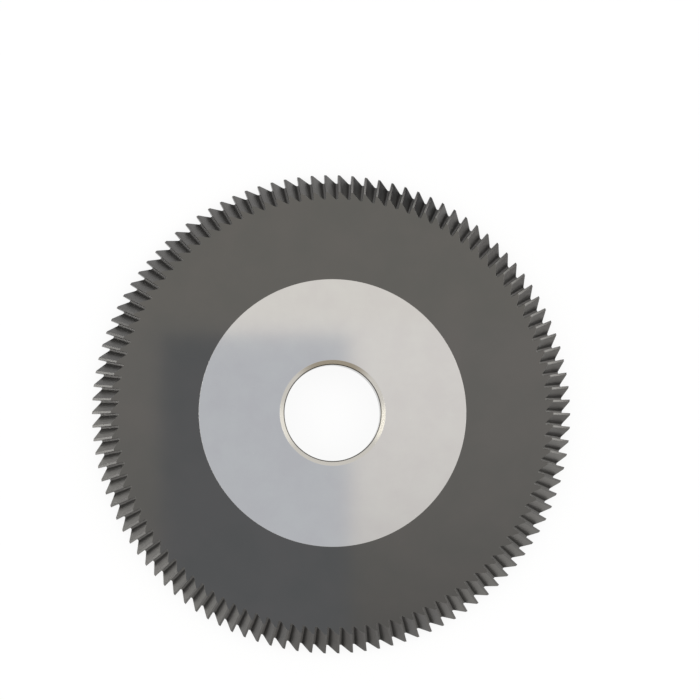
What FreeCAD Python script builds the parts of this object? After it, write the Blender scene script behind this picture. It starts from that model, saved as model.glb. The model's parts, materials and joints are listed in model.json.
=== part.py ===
"""Key machine cutter: a one-piece disc of high-speed steel with a ring of fine saw teeth.

Millimetres, +Z up. The origin is on the axis of the bore, on the back face of the hub, which is the
face that the disc lies on. Seen from the front (+Z) the teeth point anticlockwise. They run straight
across the rim, from the back, and then down a 45 degree bevel to the front face.
"""
import FreeCAD, Part
import math
import os

# The disc
outer_diameter = 80.0       # across the tooth tips, at the back
hub_thickness = 5.0         # from one ground hub face to the other
hub_diameter = 44.5         # the ground ring that the machine clamps
web_relief = 0.1            # how far each face of the web lies below its hub face

# The bore
bore_diameter = 16.0        # fits the spindle nose
chamfer_width = 0.8         # of the cone at both mouths, across the hub's face
chamfer_depth = 0.7         # of the same cone, down the bore

# The rim
rim_width = 1.65            # straight stretch at the full diameter, next to the back face
bevel_angle = 45.0          # degrees, between the line of a cutting edge and the axis
grinding_stock = 0.2        # left on the turned rim, and taken off with the gashes and lands

# The teeth, as seen along the axis
tooth_count = 110
land_width = 0.36           # the narrow facet behind each cutting edge
land_relief = 8.0           # degrees, by which that facet falls away from the cutting circle
back_angle = 40.5           # degrees, between the tooth's back and the floor of its gullet
gullet_floor = 0.35         # width of the gullet's bottom, next to the rake face
gullet_radius = 0.12        # in the corner between that bottom and the rake face, on the bevel
gash_overrun = 0.8          # how far the gashing tool runs past the stretch that it cuts

# What follows from those sizes
outer_radius = outer_diameter / 2
hub_radius = hub_diameter / 2
bore_radius = bore_diameter / 2
web_back = web_relief
web_front = hub_thickness - web_relief
bevel_start = web_back + rim_width
tooth_angle = 2 * math.pi / tooth_count
axis_base = FreeCAD.Vector(0, 0, 0)
axis_up = FreeCAD.Vector(0, 0, 1)
same_point = 1e-6           # closer than this, two corners are one


def bevel_radius(height):
    """Radius, at a height, of the straight line that a cutting edge follows down the bevel."""
    return outer_radius - (height - bevel_start) * math.tan(math.radians(bevel_angle))


def turned_blank():
    """The disc before its teeth are cut: web, proud hub, chamfered bore and turned rim."""
    rim_radius = outer_radius + grinding_stock
    profile = [
        (bore_radius, chamfer_depth),
        (bore_radius + chamfer_width, 0.0),
        (hub_radius, 0.0),
        (hub_radius, web_back),
        (rim_radius, web_back),
        (rim_radius, bevel_start),
        (bevel_radius(web_front) + grinding_stock, web_front),
        (hub_radius, web_front),
        (hub_radius, hub_thickness),
        (bore_radius + chamfer_width, hub_thickness),
        (bore_radius, hub_thickness - chamfer_depth),
    ]
    points = [FreeCAD.Vector(radius, 0, height) for radius, height in profile]
    section = Part.Face(Part.makePolygon(points + points[:1]))
    return section.revolve(axis_base, axis_up, 360)


def polar(radius, angle, height):
    """Point at a radius and an angle about the axis."""
    return FreeCAD.Vector(radius * math.cos(angle), radius * math.sin(angle), height)


def gash_section(edge, height):
    """Outline, at one height, of the space between a tooth's rake face and the next tooth.

    The cutting edges are at the radius `edge`, and X is radial, along the rake face. The outline runs
    down that face, along the gullet's floor, up the next tooth's back, along its land to the cutting
    edge, and out past the blank.
    """
    outside = edge + gash_overrun
    tip = polar(edge, tooth_angle, height)
    land_heading = tooth_angle - math.pi / 2 - math.radians(land_relief)
    heel = tip + polar(land_width, land_heading, 0)
    floor_radius = heel.x - (heel.y - gullet_floor) * math.tan(math.radians(back_angle))
    return [
        polar(outside, 0, height),
        polar(floor_radius, 0, height),
        FreeCAD.Vector(floor_radius, gullet_floor, height),
        heel,
        tip,
        polar(outside, tooth_angle, height),
    ]


def gash(low, high):
    """A flat-sided solid between two sections of a tooth space.

    Matching lines of the two sections are parallel, so every side is a plane.
    """
    faces = [Part.Face(Part.makePolygon(ring + ring[:1])) for ring in (low, high)]
    for index in range(len(low)):
        following = (index + 1) % len(low)
        side = [low[index], low[following], high[following], high[index], low[index]]
        faces.append(Part.Face(Part.makePolygon(side)))
    return Part.makeSolid(Part.makeShell(faces))


def joins(edge, first, second):
    """Whether an edge runs from one of two corners to the other."""
    ends = [vertex.Point for vertex in edge.Vertexes]
    nearest = [min(end.distanceToPoint(corner) for end in ends) for corner in (first, second)]
    return max(nearest) < same_point


def tooth_space():
    """Both gashes of a tooth space: straight across the rim, and down the bevel.

    Each runs on past the corner where they meet, inside the space that the other one cuts. The long
    edge between the rake face and the gullet's floor is rounded in the second one.
    """
    below, above = web_back - gash_overrun, bevel_start + gash_overrun
    over_rim = gash(gash_section(outer_radius, below), gash_section(outer_radius, above))

    below, above = bevel_start - gash_overrun, web_front + gash_overrun
    low, high = [gash_section(bevel_radius(height), height) for height in (below, above)]
    down_bevel = gash(low, high)
    root = [edge for edge in down_bevel.Edges if joins(edge, low[1], high[1])]
    return over_rim.fuse(down_bevel.makeFillet(gullet_radius, root))


def cutter():
    """The turned blank with one tooth space for each tooth, evenly spaced round the axis."""
    first = tooth_space()
    spaces = []
    for index in range(tooth_count):
        turned = first.copy()
        turned.rotate(axis_base, axis_up, 360 * index / tooth_count)
        spaces.append(turned)
    return turned_blank().cut(spaces).removeSplitter()


os.makedirs("parts", exist_ok=True)
shape = cutter()
shape.exportStep("parts/cutter.step")
print("cutter: solids", len(shape.Solids), "faces", len(shape.Faces), "valid", shape.isValid())
print("volume mm3", round(shape.Volume, 1), "box", shape.BoundBox)
front_edge = bevel_radius(web_front)
print("cutting edges at the front: radius", round(front_edge, 3))
for edge, height in ((outer_radius, web_back), (front_edge, web_front)):
    print("gullet floor at height", height, "radius", round(gash_section(edge, height)[1].x, 3))
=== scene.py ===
# %% [markdown]
# # A key machine cutter
#
# This is the disc that cuts the notches of a key: one piece of high-speed steel, 80 mm across and
# 5 mm thick. Its 110 fine saw teeth run straight across the rim from the back and then down a bevel
# to the front. Its web is dark from a hard coating, and a bright ring round the bore is ground bare,
# because the machine clamps the disc there.
#
# The whole shape follows a rule. One slice of it, a hundred-and-tenth of a turn, holds one tooth
# space, and the disc is that slice repeated. So the lesson makes one slice, lets Geometry Nodes turn
# it into the disc, rounds its edges, and then spends its time on the steel and the light.

# %% The frame, and what the script needs
import json
import math
import bmesh
import bpy
from mathutils import Matrix, Vector


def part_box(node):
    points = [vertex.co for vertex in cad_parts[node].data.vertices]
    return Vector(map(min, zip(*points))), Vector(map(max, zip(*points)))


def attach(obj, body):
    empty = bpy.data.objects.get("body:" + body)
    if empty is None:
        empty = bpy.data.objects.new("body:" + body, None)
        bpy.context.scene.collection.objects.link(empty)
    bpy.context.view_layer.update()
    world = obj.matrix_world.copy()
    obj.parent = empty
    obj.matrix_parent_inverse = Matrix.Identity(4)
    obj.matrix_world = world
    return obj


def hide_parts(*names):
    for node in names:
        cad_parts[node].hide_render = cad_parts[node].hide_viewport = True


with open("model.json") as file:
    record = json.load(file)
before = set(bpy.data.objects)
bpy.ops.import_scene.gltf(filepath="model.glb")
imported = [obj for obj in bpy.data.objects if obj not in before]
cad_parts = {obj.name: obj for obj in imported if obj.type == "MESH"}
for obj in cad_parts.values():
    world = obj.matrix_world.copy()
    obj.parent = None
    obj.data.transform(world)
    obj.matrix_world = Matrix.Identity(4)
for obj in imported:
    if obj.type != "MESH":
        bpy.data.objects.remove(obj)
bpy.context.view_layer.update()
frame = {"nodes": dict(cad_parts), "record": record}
print("frame nodes:", sorted(frame["nodes"]))

# %% [markdown]
# ## Sizes
#
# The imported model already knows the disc's outer size, its thickness and its bore, so those are read
# from it. The sizes that it doesn't state, such as the angles of a tooth, are the ones that the disc
# was made to.
#
# The disc is drawn in millimetres and brought to metres at the end. Its edges are rounded by two
# hundredths of a millimetre, and in metres such numbers are so small that welding and bevelling would
# lose them.

# %% Sizes of the disc, in millimetres
mm = 0.001

low_corner, high_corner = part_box("cutter")
mounts = {mount["name"]: mount for mount in frame["record"]["mounts"]}

outer_radius = high_corner.x / mm
hub_thickness = (high_corner.z - low_corner.z) / mm
bore_radius = mounts["bore"]["dims"]["r_mm"]
chamfer_depth = (hub_thickness - mounts["bore"]["dims"]["length_mm"]) / 2
chamfer_width = 0.8
hub_radius = 22.25
web_relief = 0.1
web_back = web_relief
web_front = hub_thickness - web_relief

print(f"disc {2 * outer_radius:.1f} mm across, {hub_thickness:.1f} mm thick")
print(f"bore {2 * bore_radius:.1f} mm, chamfered to a depth of {chamfer_depth:.2f} mm")

# %% Sizes of a tooth
tooth_count = 110
tooth_angle = 2 * math.pi / tooth_count
rim_width = 1.65
bevel_angle = math.radians(45.0)
land_width = 0.36
land_relief = math.radians(8.0)
back_angle = math.radians(40.5)
gullet_floor = 0.35
gullet_radius = 0.12
bevel_start = web_back + rim_width

print(f"{tooth_count} teeth, {outer_radius * tooth_angle:.3f} mm apart at the tips")

# %% [markdown]
# ## One small function for nodes
#
# Geometry and materials are both built from nodes here. `add_node` makes one node of any kind, sets
# its own settings, and fills each input with a value or with a link from another node's socket. An
# input is given by its name, or by its number where a node has two of one name.

# %% A helper for nodes
def add_node(tree, kind, inputs=None, **settings):
    """Add one node, with its settings, and its inputs as values or as sockets to link from."""
    node = tree.nodes.new(kind)
    for name, value in settings.items():
        setattr(node, name, value)
    for key, value in (inputs or {}).items():
        if isinstance(value, bpy.types.NodeSocket):
            tree.links.new(value, node.inputs[key])
        else:
            node.inputs[key].default_value = value
    return node


# %% [markdown]
# ## A section through a tooth space
#
# A gash is cut by a tool of one fixed shape that runs straight across the rim and then down the
# bevel. At any height, its outline goes down the rake face of one tooth, round a small radius, along
# the flat floor of the gullet, up the straight back of the next tooth to its heel, and along the
# narrow land to the next cutting edge. The land falls away from the cutting circle by a few degrees,
# or the tooth would rub and not cut.
#
# The function below gives the corners of that outline at one height. X runs along the rake face.

# %% The tooth's corners at one height
def polar(radius, angle, height):
    """Point at a radius and an angle about the disc's axis."""
    return Vector((radius * math.cos(angle), radius * math.sin(angle), height))


def edge_radius(height):
    """Radius of the cutting edges at a height: across the rim, and then down the bevel."""
    return outer_radius - max(0, height - bevel_start) * math.tan(bevel_angle)


def tooth_space(height):
    """Floor radius, heel and next cutting edge of a tooth space at one height."""
    tip = polar(edge_radius(height), tooth_angle, height)
    heel = tip + polar(land_width, tooth_angle - math.pi / 2 - land_relief, 0)
    floor_radius = heel.x - (heel.y - gullet_floor) * math.tan(back_angle)
    return floor_radius, heel, tip


for side, height in (("front", web_front), ("back", web_back)):
    print(f"{side}: gullet floor at radius {tooth_space(height)[0]:.2f} mm")

# %% The gullet's outline at one height
root_steps = 4
foot_radius = 0.3           # where the floor runs into the next tooth's back
foot_steps = 3
foot_start = root_steps + 2


def gullet_line(height):
    """Points round the root, along the floor and round the foot of the back, at one height."""
    floor_radius = tooth_space(height)[0]
    points = []
    for step in range(root_steps + 1):
        turn = math.pi / 2 * step / root_steps
        above_floor = gullet_radius * (1 - math.sin(turn))
        from_rake = gullet_radius * (1 - math.cos(turn))
        points.append(Vector((floor_radius + above_floor, from_rake, height)))

    foot = gullet_floor - foot_radius * math.tan(back_angle / 2)
    for step in range(foot_steps + 1):
        turn = back_angle * step / foot_steps
        above_floor = foot_radius * (1 - math.cos(turn))
        from_rake = foot + foot_radius * math.sin(turn)
        points.append(Vector((floor_radius + above_floor, from_rake, height)))
    return points


# %% [markdown]
# ## One slice of the disc
#
# The slice is built as a small mesh of true faces: a panel of the web in front and behind, the walls
# of one tooth space between them, and strips of the hub, its chamfers and the bore. Each face notes
# how its place on the real disc was finished, in an attribute that the node tree reads later. The
# narrow lip of each chamfer next to the bore carries the dark coating as painted shade.
#
# The slice also gets a UV map in millimetres. Its V runs along the gash and its U across it, on every
# face of the tooth, because that is how the grinding marks lie.

# %% Finishes, as numbers on the faces
COATED_WEB = 0
COATED_TOOTH = 1
COATED_LAND = 2
COATED_FLOOR = 3
GROUND_HUB = 4
GROUND_CHAMFER = 5

shaded_lip_share = 0.22            # of the chamfer, next to the bore, that is coloured dark as painted shade
arc_steps = 2               # along the round edges of one slice
seam = 0.001                # corners that are nearer than this are welded


def arc(radius, height):
    """Points of a round edge across the slice."""
    return [polar(radius, tooth_angle * step / arc_steps, height) for step in range(arc_steps + 1)]


# %% The slice itself
def build_slice():
    """The mesh of one slice, from its first rake plane to the next."""
    mesh = bmesh.new()
    finish = mesh.faces.layers.int.new("finish")
    grain = mesh.loops.layers.uv.new("along_gash")
    turn = Matrix.Rotation(tooth_angle, 3, "Z")
    outwards = Vector((1, 0, 0))

    def face(points, kind, run=outwards):
        made = mesh.faces.new([mesh.verts.new(point) for point in points])
        made[finish] = kind
        made.normal_update()
        across = made.normal.cross(run)
        for corner in made.loops:
            place = corner.vert.co
            corner[grain].uv = (place.dot(across), place.dot(run))

    def strip(first, second, kind, run=outwards):
        for index in range(len(first) - 1):
            face([first[index], first[index + 1], second[index + 1], second[index]], kind, run)

    def section(height):
        _, heel, tip = tooth_space(height)
        gullet = gullet_line(height)
        return gullet, heel, tip, turn @ gullet[0]

    back, corner, front = section(web_back), section(bevel_start), section(web_front)
    for (gullet, heel, tip, root), hub_height, turned_over in (
        (back, web_back, True), (front, web_front, False)
    ):
        panel = [*gullet, heel, tip, root, *reversed(arc(hub_radius, hub_height))]
        face(panel[::-1] if turned_over else panel, COATED_WEB)

    for low, high in ((back, corner), (corner, front)):
        low_gullet, low_heel, low_tip, low_root = low
        gullet, heel, tip, root = high
        run = (tip - low_tip).normalized()
        strip(low_gullet[:foot_start], gullet[:foot_start], COATED_FLOOR, run)
        low_tooth_back = [*low_gullet[foot_start - 1:], low_heel]
        tooth_back = [*gullet[foot_start - 1:], heel]
        strip(low_tooth_back, tooth_back, COATED_TOOTH, run)
        strip([low_heel, low_tip], [heel, tip], COATED_LAND, run)
        face([low_root, root, tip, low_tip], COATED_TOOTH, run)

    chamfered = bore_radius + chamfer_width
    shaded_lip_radius = bore_radius + chamfer_width * shaded_lip_share
    shaded_lip_depth = chamfer_depth * (1 - shaded_lip_share)
    # The bore keeps the web's dark coating, and the shaded lip of each chamfer gets it too, as painted
    # shade for the shaded table in the hole.
    profile = [
        (hub_radius, web_front, COATED_WEB),
        (hub_radius, hub_thickness, GROUND_HUB),
        (chamfered, hub_thickness, GROUND_CHAMFER),
        (shaded_lip_radius, hub_thickness - shaded_lip_depth, COATED_WEB),
        (bore_radius, hub_thickness - chamfer_depth, COATED_WEB),
        (bore_radius, chamfer_depth, COATED_WEB),
        (shaded_lip_radius, shaded_lip_depth, GROUND_CHAMFER),
        (chamfered, 0.0, GROUND_HUB),
        (hub_radius, 0.0, COATED_WEB),
        (hub_radius, web_back, None),
    ]
    for (radius, height, kind), (next_radius, next_height, _) in zip(profile, profile[1:]):
        strip(arc(radius, height), arc(next_radius, next_height), kind)

    bmesh.ops.remove_doubles(mesh, verts=mesh.verts[:], dist=seam)
    data = bpy.data.meshes.new("cutter_slice")
    mesh.to_mesh(data)
    mesh.free()
    return data


slice_mesh = build_slice()
print(f"one slice: {len(slice_mesh.vertices)} corners, {len(slice_mesh.polygons)} faces")

# %% [markdown]
# ## Colours and scales
#
# Colours are written as they look on a screen, in hex, and one function turns them into the linear
# values that the renderer works in. A pattern's scale is worked out from a real size: `per_metre`
# gives the number of repeats in a metre for a feature of so many millimetres.

# %% Colour and scale helpers
def linear(code):
    """A hex colour, as it looks on a screen, as linear red, green, blue and alpha."""
    channels = []
    for start in (1, 3, 5):
        value = int(code[start:start + 2], 16) / 255
        channels.append(value / 12.92 if value <= 0.04045 else ((value + 0.055) / 1.055) ** 2.4)
    return (*channels, 1.0)


def per_metre(size):
    """Repeats in a metre of a feature that is so many millimetres across."""
    return 1 / (size * mm)


# %% [markdown]
# ## Steel, as a bare material
#
# All six finishes are metal, so they share one start: a Principled shader with Metallic at 1, where
# the base colour is the tint of the reflection. What sets them apart is that tint, the roughness that
# the last machining step left, and the direction of its marks. The metal keeps the default IOR.
#
# The two flat finishes, the web and the hub, share more. `flat_ground_steel` lets their tint drift
# between two near colours over patches of some millimetres, and gives them the even grain of flat
# grinding. Both are coarser than the real marks, which are too fine to show at this size.

# %% The start of every steel
def start_steel(name, colour, roughness):
    """A metal with one colour and roughness: the material, its tree and its shader."""
    material = bpy.data.materials.new(name)
    material.use_nodes = True
    tree = material.node_tree
    tree.nodes.clear()
    look = {"Base Color": linear(colour), "Metallic": 1.0, "Roughness": roughness}
    shader = add_node(tree, "ShaderNodeBsdfPrincipled", look)
    add_node(tree, "ShaderNodeOutputMaterial", {"Surface": shader.outputs[0]})
    return material, tree, shader


# %% A tint that drifts
def blotches(tree, place, size, first, second):
    """A colour that drifts between two near ones, over patches of so many millimetres."""
    spots = {"Vector": place, "Scale": per_metre(size), "Detail": 3.0, "Roughness": 0.55}
    noise = add_node(tree, "ShaderNodeTexNoise", spots)
    ends = {"Value": noise.outputs["Fac"], "From Min": 0.35, "From Max": 0.65}
    spread = add_node(tree, "ShaderNodeMapRange", ends)
    blend = {"Factor": spread.outputs[0], 6: linear(first), 7: linear(second)}
    return add_node(tree, "ShaderNodeMix", blend, data_type="RGBA").outputs[2]


# %% Flat grinding
flat_roughness = 0.1
flat_grain_depth = 0.002    # millimetres


def flat_ground_steel(name, warm, cool, drift, grain_size):
    """A flat ground steel whose tint drifts over patches, with a grain, both in millimetres."""
    steel, tree, shader = start_steel(name, warm, flat_roughness)
    place = add_node(tree, "ShaderNodeTexCoord").outputs["Object"]
    tree.links.new(blotches(tree, place, drift, warm, cool), shader.inputs["Base Color"])
    specks = {"Vector": place, "Scale": per_metre(grain_size), "Detail": 2.0}
    noise = add_node(tree, "ShaderNodeTexNoise", specks).outputs["Fac"]
    grain = {"Height": noise, "Distance": flat_grain_depth * mm, "Strength": 0.4}
    tree.links.new(add_node(tree, "ShaderNodeBump", grain).outputs[0], shader.inputs["Normal"])
    return steel


# %% [markdown]
# ## The dark web: vapour-coated high-speed steel
#
# The web was ground and then coated in a vacuum with a film a few thousandths of a millimetre thick.
# The film is a dark, slightly warm grey, and it follows the ground surface, so the web is satin: it
# shows a soft picture of what is above it, and drifts a little in tint where the film is thicker.

# %% Coated web
coat_warm = "#63615e"
coat_cool = "#605f5c"
coat_drift = 7.0
coat_grain = 0.3            # coarser than the real 0.05 mm, so that it shows at this size

coated_web = flat_ground_steel("vapour_coated_web", coat_warm, coat_cool, coat_drift, coat_grain)
print("made", coated_web.name)

# %% [markdown]
# ## The teeth: the same coating over gashed steel
#
# Under the film, the teeth still have the marks of the tool that gashed them. They run down each
# gash, and no two teeth have the same ones. The noise is stretched along V of the slice's UV map, and
# its third direction is the tooth's own number.
#
# The film is the same everywhere, but the steel under it isn't equally smooth. The lands were ground
# last and mirror most clearly. The rake faces and the backs come from the sides of the gashing wheel
# and are duller, and the floors, which its rim cut, are the dullest.

# %% Coated teeth, lands and floors
mark_width = 0.09           # across the gash, drawn wider than the real 0.02 mm
mark_length = 2.5
mark_depth = 0.004
tooth_apart = 7.3           # how far apart two teeth are in the noise, enough to differ
gashed_coat = "#636261"


def gashed_steel(name, roughness):
    """The coated steel of the teeth, with marks along the gash that differ from tooth to tooth."""
    steel, tree, shader = start_steel(name, gashed_coat, roughness)
    uv = add_node(tree, "ShaderNodeUVMap", uv_map="along_gash").outputs[0]
    sides = add_node(tree, "ShaderNodeSeparateXYZ", {0: uv}).outputs
    own = add_node(tree, "ShaderNodeAttribute", attribute_name="tooth").outputs["Fac"]
    across = add_node(tree, "ShaderNodeMath", {0: sides[0], 1: mark_width}, operation="DIVIDE")
    along = add_node(tree, "ShaderNodeMath", {0: sides[1], 1: mark_length}, operation="DIVIDE")
    apart = add_node(tree, "ShaderNodeMath", {0: own, 1: tooth_apart}, operation="MULTIPLY")
    marks_at = {0: across.outputs[0], 1: along.outputs[0], 2: apart.outputs[0]}
    place = add_node(tree, "ShaderNodeCombineXYZ", marks_at).outputs[0]
    marks = add_node(tree, "ShaderNodeTexNoise", {"Vector": place, "Scale": 1.0, "Detail": 3.0})
    grain = {"Height": marks.outputs["Fac"], "Distance": mark_depth * mm, "Strength": 0.5}
    tree.links.new(add_node(tree, "ShaderNodeBump", grain).outputs[0], shader.inputs["Normal"])
    return steel


coated_tooth = gashed_steel("vapour_coated_teeth", roughness=0.35)
coated_land = gashed_steel("vapour_coated_lands", roughness=0.25)
coated_floor = gashed_steel("vapour_coated_floors", roughness=0.5)
print("made", coated_tooth.name, coated_land.name, "and", coated_floor.name)

# %% [markdown]
# ## The hub: bare steel, ground flat
#
# The clamping ring was ground after the coating, so it shows the bare steel: bright and almost
# neutral, with a fine even grain that softens what it mirrors.

# %% Ground hub
hub_warm = "#d0ceca"
hub_cool = "#cdcac7"
hub_drift = 5.0
hub_grain = 0.25            # coarser than the real 0.05 mm, as on the web

ground_hub = flat_ground_steel("ground_steel_hub", hub_warm, hub_cool, hub_drift, hub_grain)
print("made", ground_hub.name)

# %% [markdown]
# ## The chamfers of the bore: bare steel, ground to a cone
#
# Both mouths of the bore were ground after the coating too, so that they slip over the spindle's
# shoulder. The stone turned with the bore, so its marks are fine rings round the axis. Rings follow
# from the radius and the height alone, so the noise is given just those two. The bore itself kept its
# dark coating. A narrow lip of each chamfer next to it is given the same dark coating as painted
# shade, for the shaded table inside the hole that this edge mirrors.

# %% Ground chamfer
ring_pitch = 0.08           # drawn wider than the real 0.02 mm
ring_depth = 0.003
cone_colour = "#c6c3bd"
cone_roughness = 0.12

ground_chamfer, tree, shader = start_steel("ground_steel_chamfer", cone_colour, cone_roughness)
place = add_node(tree, "ShaderNodeTexCoord").outputs["Object"]
sides = add_node(tree, "ShaderNodeSeparateXYZ", {0: place}).outputs
flat = add_node(tree, "ShaderNodeCombineXYZ", {0: sides[0], 1: sides[1]}).outputs[0]
radius = add_node(tree, "ShaderNodeVectorMath", {0: flat}, operation="LENGTH").outputs["Value"]
place = add_node(tree, "ShaderNodeCombineXYZ", {0: radius, 1: sides[2]}).outputs[0]
rings_at = {"Vector": place, "Scale": per_metre(ring_pitch), "Detail": 2.0}
rings = add_node(tree, "ShaderNodeTexNoise", rings_at).outputs["Fac"]
grain = {"Height": rings, "Distance": ring_depth * mm, "Strength": 0.12}
tree.links.new(add_node(tree, "ShaderNodeBump", grain).outputs[0], shader.inputs["Normal"])
print("made", ground_chamfer.name)

# %% [markdown]
# ## From one slice to the disc
#
# Geometry Nodes repeat what a rule repeats. The tree below places the slice once for each tooth,
# turned by an equal share of a full circle, makes the copies real, welds their seams, and gives each
# finish its material. The number of teeth and the width of the weld are inputs of the tree, so the
# same tree would make a coarser cutter from a wider slice.
#
# Each copy also carries its own number, `tooth`, so that no two teeth have the same grinding marks.

# %% The tree that repeats a slice round the axis
def repeat_round_axis():
    """A node tree that turns one slice into a full disc."""
    tree = bpy.data.node_groups.new("repeat_round_axis", "GeometryNodeTree")
    interface = tree.interface
    interface.new_socket("Slice", in_out="INPUT", socket_type="NodeSocketGeometry")
    interface.new_socket("Copies", in_out="INPUT", socket_type="NodeSocketInt")
    interface.new_socket("Seam", in_out="INPUT", socket_type="NodeSocketFloat")
    interface.new_socket("Disc", in_out="OUTPUT", socket_type="NodeSocketGeometry")
    given = add_node(tree, "NodeGroupInput").outputs

    number = add_node(tree, "GeometryNodeInputIndex").outputs[0]
    share = add_node(tree, "ShaderNodeMath", {0: number, 1: given["Copies"]}, operation="DIVIDE")
    angle = add_node(tree, "ShaderNodeMath", {0: share.outputs[0], 1: math.tau}, operation="MULTIPLY")
    about_axis = {"Axis": (0.0, 0.0, 1.0), "Angle": angle.outputs[0]}
    turned = add_node(tree, "FunctionNodeAxisAngleToRotation", about_axis).outputs[0]

    points = add_node(tree, "GeometryNodePoints", {"Count": given["Copies"]}).outputs[0]
    placing = {"Points": points, "Instance": given["Slice"], "Rotation": turned}
    copies = add_node(tree, "GeometryNodeInstanceOnPoints", placing).outputs[0]
    numbering = {"Geometry": copies, "Name": "tooth", "Value": number}
    numbered = add_node(tree, "GeometryNodeStoreNamedAttribute", numbering, domain="INSTANCE")
    real = add_node(tree, "GeometryNodeRealizeInstances", {"Geometry": numbered.outputs[0]})
    welding = {"Geometry": real.outputs[0], "Distance": given["Seam"]}
    disc = add_node(tree, "GeometryNodeMergeByDistance", welding).outputs[0]

    kind = add_node(tree, "GeometryNodeInputNamedAttribute", {"Name": "finish"}, data_type="INT")
    others = {
        COATED_TOOTH: coated_tooth,
        COATED_LAND: coated_land,
        COATED_FLOOR: coated_floor,
        GROUND_HUB: ground_hub,
        GROUND_CHAMFER: ground_chamfer,
    }
    for finish, steel in others.items():
        same = {2: kind.outputs[0], 3: finish}
        chosen = add_node(tree, "FunctionNodeCompare", same, data_type="INT", operation="EQUAL")
        painting = {"Geometry": disc, "Selection": chosen.outputs[0], "Material": steel}
        disc = add_node(tree, "GeometryNodeSetMaterial", painting).outputs[0]
    add_node(tree, "NodeGroupOutput", {"Disc": disc})
    return tree


# %% [markdown]
# ## Rounding the edges
#
# No machined edge is perfectly sharp, and a sharp edge in a render shows as a dead line. A Bevel
# modifier rounds every edge that turns by more than the small steps of the gullet's root, by two
# hundredths of a millimetre. Its width is kept from shrinking, and its normals are matched to the
# flat faces beside it, so that those stay flat in the reflections.

# %% Make the disc
edge_rounding = 0.02
smooth_steps = math.radians(28)         # edges that turn by less than this stay as they are

cutter = bpy.data.objects.new("key_cutter", slice_mesh)
bpy.context.scene.collection.objects.link(cutter)
slice_mesh.shade_smooth()
slice_mesh.materials.append(coated_web)

repeat = cutter.modifiers.new("repeat", "NODES")
repeat.node_group = repeat_round_axis()
sockets = {item.name: item.identifier for item in repeat.node_group.interface.items_tree}
repeat[sockets["Copies"]] = tooth_count
repeat[sockets["Seam"]] = seam

rounding = cutter.modifiers.new("rounding", "BEVEL")
rounding.width = edge_rounding
rounding.segments = 2
rounding.limit_method = "ANGLE"
rounding.angle_limit = smooth_steps
rounding.use_clamp_overlap = False
rounding.harden_normals = True

graph = bpy.context.evaluated_depsgraph_get()
disc_mesh = bpy.data.meshes.new_from_object(cutter.evaluated_get(graph))
cutter.modifiers.clear()
cutter.data = disc_mesh
disc_mesh.name = "key_cutter"
disc_mesh.transform(Matrix.Scale(mm, 4))

# %% Look at what was made
check = bmesh.new()
check.from_mesh(disc_mesh)
open_edges = sum(not edge.is_manifold for edge in check.edges)
print(f"disc: {len(check.faces)} faces, {len(check.calc_loop_triangles())} triangles")
print(f"open edges: {open_edges}, volume {check.calc_volume() / mm**3:.0f} cubic millimetres")
print("finishes:", [material.name for material in disc_mesh.materials])
check.free()

# %% [markdown]
# ## In place of the plain solid
#
# The disc now stands for the plain solid of the frame, at the same place and size, and it rides on
# the only body that the part has.

# %% Hand the disc to the frame
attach(cutter, "root")
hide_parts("cutter")

# %% [markdown]
# ## The table and the air round it
#
# The photograph was taken straight down on a white table under soft white light. A plain white world
# does the same: metal shows nothing but what is round it, and with a world at a strength of 1, each
# steel renders in about the colour that is written for it.
#
# The table is so bright in the photograph that the shadow all but drowns in it. Its paint therefore
# glows a little too, for the rays that look at it and not for those that light the disc. It is a
# sheet with a top and no underside, so that the back of the disc can be looked at from below.

# %% World
world = bpy.data.worlds.new("white_studio")
bpy.context.scene.world = world
world.use_nodes = True
tree = world.node_tree
tree.nodes.clear()
sky = add_node(tree, "ShaderNodeBackground", {"Color": linear("#fffefc"), "Strength": 1.0})
add_node(tree, "ShaderNodeOutputWorld", {"Surface": sky.outputs[0]})

# %% Rays that look
def looking(tree):
    """1 for a ray that looks, also by way of metal or glass, and 0 for one that lights."""
    ray = add_node(tree, "ShaderNodeLightPath").outputs
    looks = ray["Is Camera Ray"]
    for way in ("Is Glossy Ray", "Is Transmission Ray"):
        either = {0: looks, 1: ray[way]}
        looks = add_node(tree, "ShaderNodeMath", either, operation="MAXIMUM").outputs[0]
    return looks


# %% The table's paint
table_glow = 0.9

white_table = bpy.data.materials.new("matt_white_table")
white_table.use_nodes = True
white_table.cycles.emission_sampling = "NONE"
tree = white_table.node_tree
tree.nodes.clear()
paint = add_node(tree, "ShaderNodeBsdfDiffuse", {"Color": linear("#f8f8f8")})
glow = add_node(tree, "ShaderNodeEmission", {"Color": linear("#ffffff")})
ends = {"Value": looking(tree), "To Min": 0.0, "To Max": table_glow}
share = add_node(tree, "ShaderNodeMapRange", ends)
both = {0: share.outputs[0], 1: paint.outputs[0], 2: glow.outputs[0]}
top = add_node(tree, "ShaderNodeMixShader", both).outputs[0]
underneath = add_node(tree, "ShaderNodeNewGeometry").outputs["Backfacing"]
clear = add_node(tree, "ShaderNodeBsdfTransparent").outputs[0]
sheet = add_node(tree, "ShaderNodeMixShader", {0: underneath, 1: top, 2: clear}).outputs[0]
add_node(tree, "ShaderNodeOutputMaterial", {"Surface": sheet})
print("made", white_table.name)

# %% Table
table_half = 1.5            # metres, from the disc's axis to the table's sides
table_gap = 0.01 * mm       # keeps the table's plane apart from the hub's
table_mesh = bpy.data.meshes.new("table")
table_corners = [(-1, -1), (1, -1), (1, 1), (-1, 1)]
table_places = [(x * table_half, y * table_half, -table_gap) for x, y in table_corners]
table_mesh.from_pydata(table_places, [], [range(4)])
table_mesh.materials.append(white_table)
table = bpy.data.objects.new("table", table_mesh)
bpy.context.scene.collection.objects.link(table)
print(f"table {2 * table_half:.1f} m wide, of which {table_glow:.0%} is glow")

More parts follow.
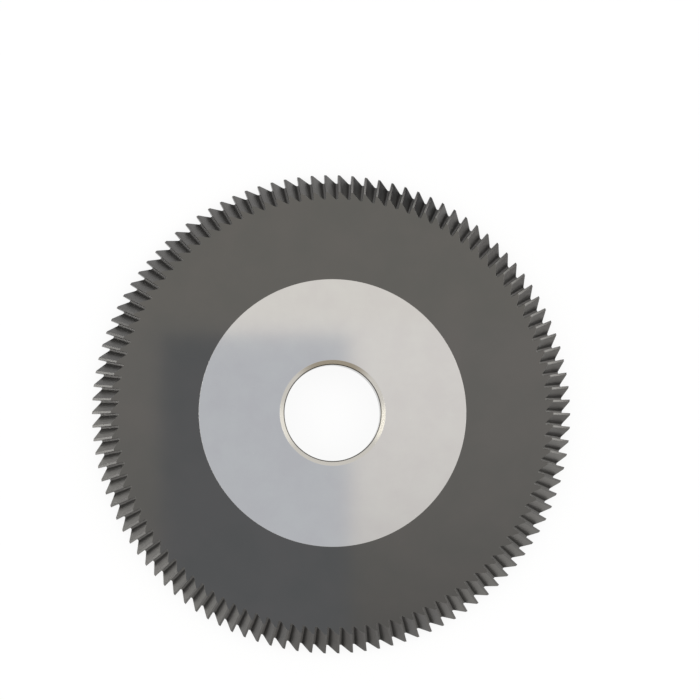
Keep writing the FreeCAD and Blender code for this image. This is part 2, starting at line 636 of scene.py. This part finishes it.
# %% [markdown]
# ## The camera
#
# The camera looks down on the disc from a little to the left and below, which shows in how the hub
# sits off the middle of the tips. It is aimed by a point of the disc's front plane that lies in the
# middle of the picture, and its lens follows from how many millimetres the picture spans there.

# %% Camera
camera_distance = 600.0     # this, the span and the aim are in millimetres
lean_left = math.radians(2.9)
lean_down = math.radians(3.1)
picture_roll = math.radians(-0.19)
picture_span = 116.45       # what the picture is wide, at the disc's front plane
aim = Vector((2.90, 10.44, hub_thickness))

towards_camera = Vector((-math.tan(lean_left), -math.tan(lean_down), 1)).normalized()
eye = aim + camera_distance * towards_camera
right = Vector((0, 1, 0)).cross(towards_camera).normalized()
up = towards_camera.cross(right)
turn = Matrix((right, up, towards_camera)).transposed() @ Matrix.Rotation(picture_roll, 3, "Z")

lens = bpy.data.cameras.new("camera")
lens.sensor_width = 36.0
lens.lens = camera_distance * lens.sensor_width / picture_span
camera = bpy.data.objects.new("camera", lens)
camera.matrix_world = Matrix.Translation(eye * mm) @ turn.to_4x4()
bpy.context.scene.collection.objects.link(camera)
bpy.context.scene.camera = camera
print(f"camera at {eye.x:.0f}, {eye.y:.0f}, {eye.z:.0f} mm, lens {lens.lens:.0f} mm")

# %% [markdown]
# ## What the steel mirrors
#
# Steel shows what is round it, so cards stand in for the things in the room. Only reflections see
# them. A card glows in one colour, or fades from it to another, and its two sides may fade out, so
# that its edge is as soft as a thing that is out of focus.
#
# The web and the hub face straight up. What they mirror isn't evenly white: it dims towards the
# bottom of the picture, and a bluer rectangle lies over the left half of them. The corners of these
# two cards are worked out backwards, from where they are seen on the disc.

# %% Where a mirrored thing is
def above(seen_x, seen_y, height):
    """The point at a height above the disc whose mirror image is seen at a point of its front."""
    seen = Vector((seen_x, seen_y, hub_thickness))
    rise = (seen - eye).reflect(Vector((0, 0, 1)))
    return seen + rise * (height / rise.z)


# %% The paint of a card
def card_paint(name, colour, far_colour, brightness, soft_sides):
    """A glow that fades to the far colour at the card's first edge, and out at both its sides."""
    material = bpy.data.materials.new(name)
    material.use_nodes = True
    material.cycles.emission_sampling = "NONE"
    tree = material.node_tree
    tree.nodes.clear()
    across = add_node(tree, "ShaderNodeUVMap", uv_map="across_card").outputs[0]
    sides = add_node(tree, "ShaderNodeSeparateXYZ", {0: across}).outputs
    share = add_node(tree, "ShaderNodeMath", {0: sides[1], 1: 2.0}, operation="POWER").outputs[0]
    blend = {"Factor": share, 6: linear(colour), 7: linear(far_colour or colour)}
    tint = add_node(tree, "ShaderNodeMix", blend, data_type="RGBA").outputs[2]
    glow = add_node(tree, "ShaderNodeEmission", {"Color": tint, "Strength": brightness})
    halfway = {0: sides[0], 1: 0.5}
    inwards = add_node(tree, "ShaderNodeMath", halfway, operation="PINGPONG").outputs[0]
    ends = {"Value": inwards, "From Min": 0.0, "From Max": soft_sides}
    solid = add_node(tree, "ShaderNodeMapRange", ends, interpolation_type="SMOOTHSTEP").outputs[0]
    clear = add_node(tree, "ShaderNodeBsdfTransparent").outputs[0]
    both = {0: solid, 1: clear, 2: glow.outputs[0]}
    surface = add_node(tree, "ShaderNodeMixShader", both).outputs[0]
    add_node(tree, "ShaderNodeOutputMaterial", {"Surface": surface})
    return material


# %% A card that only reflections see
def mirrored_card(name, corners, colour, far_colour=None, brightness=1.0, soft_sides=0.02):
    """A glowing card between four corners, in millimetres, that only reflections see."""
    mesh = bpy.data.meshes.new(name)
    mesh.from_pydata([Vector(corner) * mm for corner in corners], [], [range(4)])
    mesh.materials.append(card_paint(name, colour, far_colour, brightness, soft_sides))
    layer = mesh.uv_layers.new(name="across_card")
    for corner, place in zip(layer.data, [(0, 1), (1, 1), (1, 0), (0, 0)]):
        corner.uv = place
    card = bpy.data.objects.new(name, mesh)
    bpy.context.scene.collection.objects.link(card)
    card.visible_camera = False
    card.visible_diffuse = False
    card.visible_shadow = False
    ends = [[round(value) for value in corners[index]] for index in (0, 2)]
    print(f"{name}: from {ends[0]} to {ends[1]} mm")


# %% Cards above the disc
def seen_rectangle(left, right, bottom, top, height):
    """Corners, from the bottom left, of a level card that is seen mirrored over a rectangle."""
    seen = ((left, bottom), (right, bottom), (right, top), (left, top))
    return [above(x, y, height) for x, y in seen]


dimming_air = seen_rectangle(left=-60, right=60, bottom=-50, top=15, height=110.0)
mirrored_card("dimming_air", dimming_air, "#fffefe", far_colour="#c1c2c4")
bluish_card = seen_rectangle(left=-29.8, right=4.0, bottom=-60, top=13.0, height=100.0)
mirrored_card("bluish_card", bluish_card, "#d9dee7", soft_sides=0.07)

# %% [markdown]
# ## What the lands and the chamfer mirror
#
# The narrow lands on the bevel lean outwards by half a right angle, so seen from above they mirror
# what is level with them, far out. The camera leans a little to the left and the bottom of the
# picture. So the lands at the left look slightly upwards, at tall windows and a pale wall, and those
# at the right and the upper right look slightly down, at pools of light on the table.
#
# The chamfer leans the other way, so each side of it mirrors what stands across the disc. A dim
# screen beyond the bottom of the picture darkens the chamfer's side at the top.

# %% Cards round the disc
def upright(azimuth, half_width, distance, low, high):
    """Corners of a card that stands at an azimuth and faces the disc, between two heights."""
    out = polar(distance, math.radians(azimuth), 0)
    side = polar(half_width, math.radians(azimuth + 90), 0)
    ends = ((-1, low), (1, low), (1, high), (-1, high))
    return [out + side * way + Vector((0, 0, height)) for way, height in ends]


screen_distance = 600       # this and the other lengths of the cards are in millimetres
wall_distance = 900
window_white = "#fffefa"
window_low, window_high = 6, 95

dim_screen = upright(-90, half_width=700, distance=screen_distance, low=40, high=220)
mirrored_card("dim_screen", dim_screen, "#c3baac", soft_sides=0.35)
left_window = upright(168, 430, wall_distance, window_low, window_high)
mirrored_card("left_window", left_window, window_white, brightness=6.5, soft_sides=0.3)
left_glow = upright(207, 250, wall_distance, window_low, window_high)
mirrored_card("left_glow", left_glow, window_white, brightness=3.5, soft_sides=0.3)
left_wall = upright(166, 480, wall_distance, window_high, high=260)
mirrored_card("left_wall", left_wall, "#fffdf6", brightness=1.5, soft_sides=0.35)
right_wall = upright(15, 530, wall_distance, low=30, high=200)
mirrored_card("right_wall", right_wall, window_white, brightness=1.4, soft_sides=0.4)

# %% Pools of light on the table
pool_height = 0.5
right_places = ((60, -16), (125, -30), (125, 80), (54, 46))
right_pool = [(x, y, pool_height) for x, y in right_places]
mirrored_card("right_pool", right_pool, window_white, brightness=4.0)

far_places = ((66, 46), (110, 46), (110, 82), (66, 82))     # radius, and angle in degrees
far_pool = [polar(radius, math.radians(angle), pool_height) for radius, angle in far_places]
mirrored_card("far_pool", far_pool, window_white, brightness=3.0)

# %% [markdown]
# ## What the backs of the teeth mirror
#
# The back of each tooth leans sideways, along the rim, so it mirrors the table a little way off, to
# one side of the tooth. The table there isn't evenly lit. Flat cards lie on it for the pools of light
# and for the shaded stretches, and a dark card darkens the backs of the teeth at the top right.
#
# Each card is drawn for a sector of the rim. A tooth's back turns away from the radius by
# `back_turn`, so the card runs from the rim outwards in that direction.

# %% Cards on the table, beside the rim
back_turn = math.radians(40)
patch_height = 0.2
patch_near, patch_far = 3, 26           # how far from the rim a patch begins and ends


def seen_in_backs(first, last):
    """Corners of a card on the table that the teeth's backs between two angles mirror."""
    corners = []
    ends = ((first, patch_near), (first, patch_far), (last, patch_far), (last, patch_near))
    for angle, run in ends:
        sector = math.radians(angle)
        rim = polar(outer_radius, sector, patch_height)
        corners.append(rim + polar(run, sector - back_turn, 0))
    return corners


# Each patch has a name, the angles where its cards begin and end, a colour and a brightness.
patches = [
    # A dark card that only reflections see, which makes the backs of the teeth between 62 and 87
    # degrees darker.
    ("dark_mirrored_patch", (62, 87), "#141a26", 1.0),
    ("right_shade", (-6, 28), "#e1dfdb", 1.0),
    ("upper_right_shade", (28, 58), "#cfcdca", 1.0),
    ("bottom_shade", (258, 286), "#e2e0dd", 1.0),
    ("left_pool", (176, 211, 246), window_white, 1.35),
    ("bottom_pool", (298, 327, 354), window_white, 1.35),
]
for name, angles, colour, brightness in patches:
    for first, last in zip(angles, angles[1:]):
        mirrored_card(name, seen_in_backs(first, last), colour, brightness=brightness)

# %% [markdown]
# ## Lamps
#
# Two soft lamps stand at the left and the right, at the plain level of a bright room. Together with
# the white world they light the table and leave the disc's faint shadow on it. The teeth are too
# rough to show the lamps as shapes, but those at the left and the right are a little brighter for
# them, as in the photograph.

# %% Side lamps
lamp_distance = 0.8                     # this and the lamps' sizes are in metres
lamp_width, lamp_height = 0.5, 0.3
lamp_elevation = math.radians(35)
lamp_brightness = 2.0                   # what a lamp looks like, next to a white of 1


def soft_lamp(name, azimuth):
    """A soft lamp that faces the disc from an azimuth."""
    data = bpy.data.lights.new(name, "AREA")
    data.shape = "RECTANGLE"
    data.size, data.size_y = lamp_width, lamp_height
    data.energy = lamp_brightness * math.pi * lamp_width * lamp_height
    outwards = polar(math.cos(lamp_elevation), azimuth, math.sin(lamp_elevation))
    lamp = bpy.data.objects.new(name, data)
    facing = outwards.to_track_quat("Z", "Y").to_matrix().to_4x4()
    lamp.matrix_world = Matrix.Translation(outwards * lamp_distance) @ facing
    lamp.visible_camera = False
    bpy.context.scene.collection.objects.link(lamp)
    print(f"{name}: {data.energy:.2f} W")


soft_lamp("right_lamp", math.radians(13))
soft_lamp("left_lamp", math.radians(176))

# %% [markdown]
# ## Finish
#
# The view transform is Standard, so that the written colours come out unchanged.

# %% Finish
bpy.context.scene.view_settings.view_transform = "Standard"
bpy.context.view_layer.update()
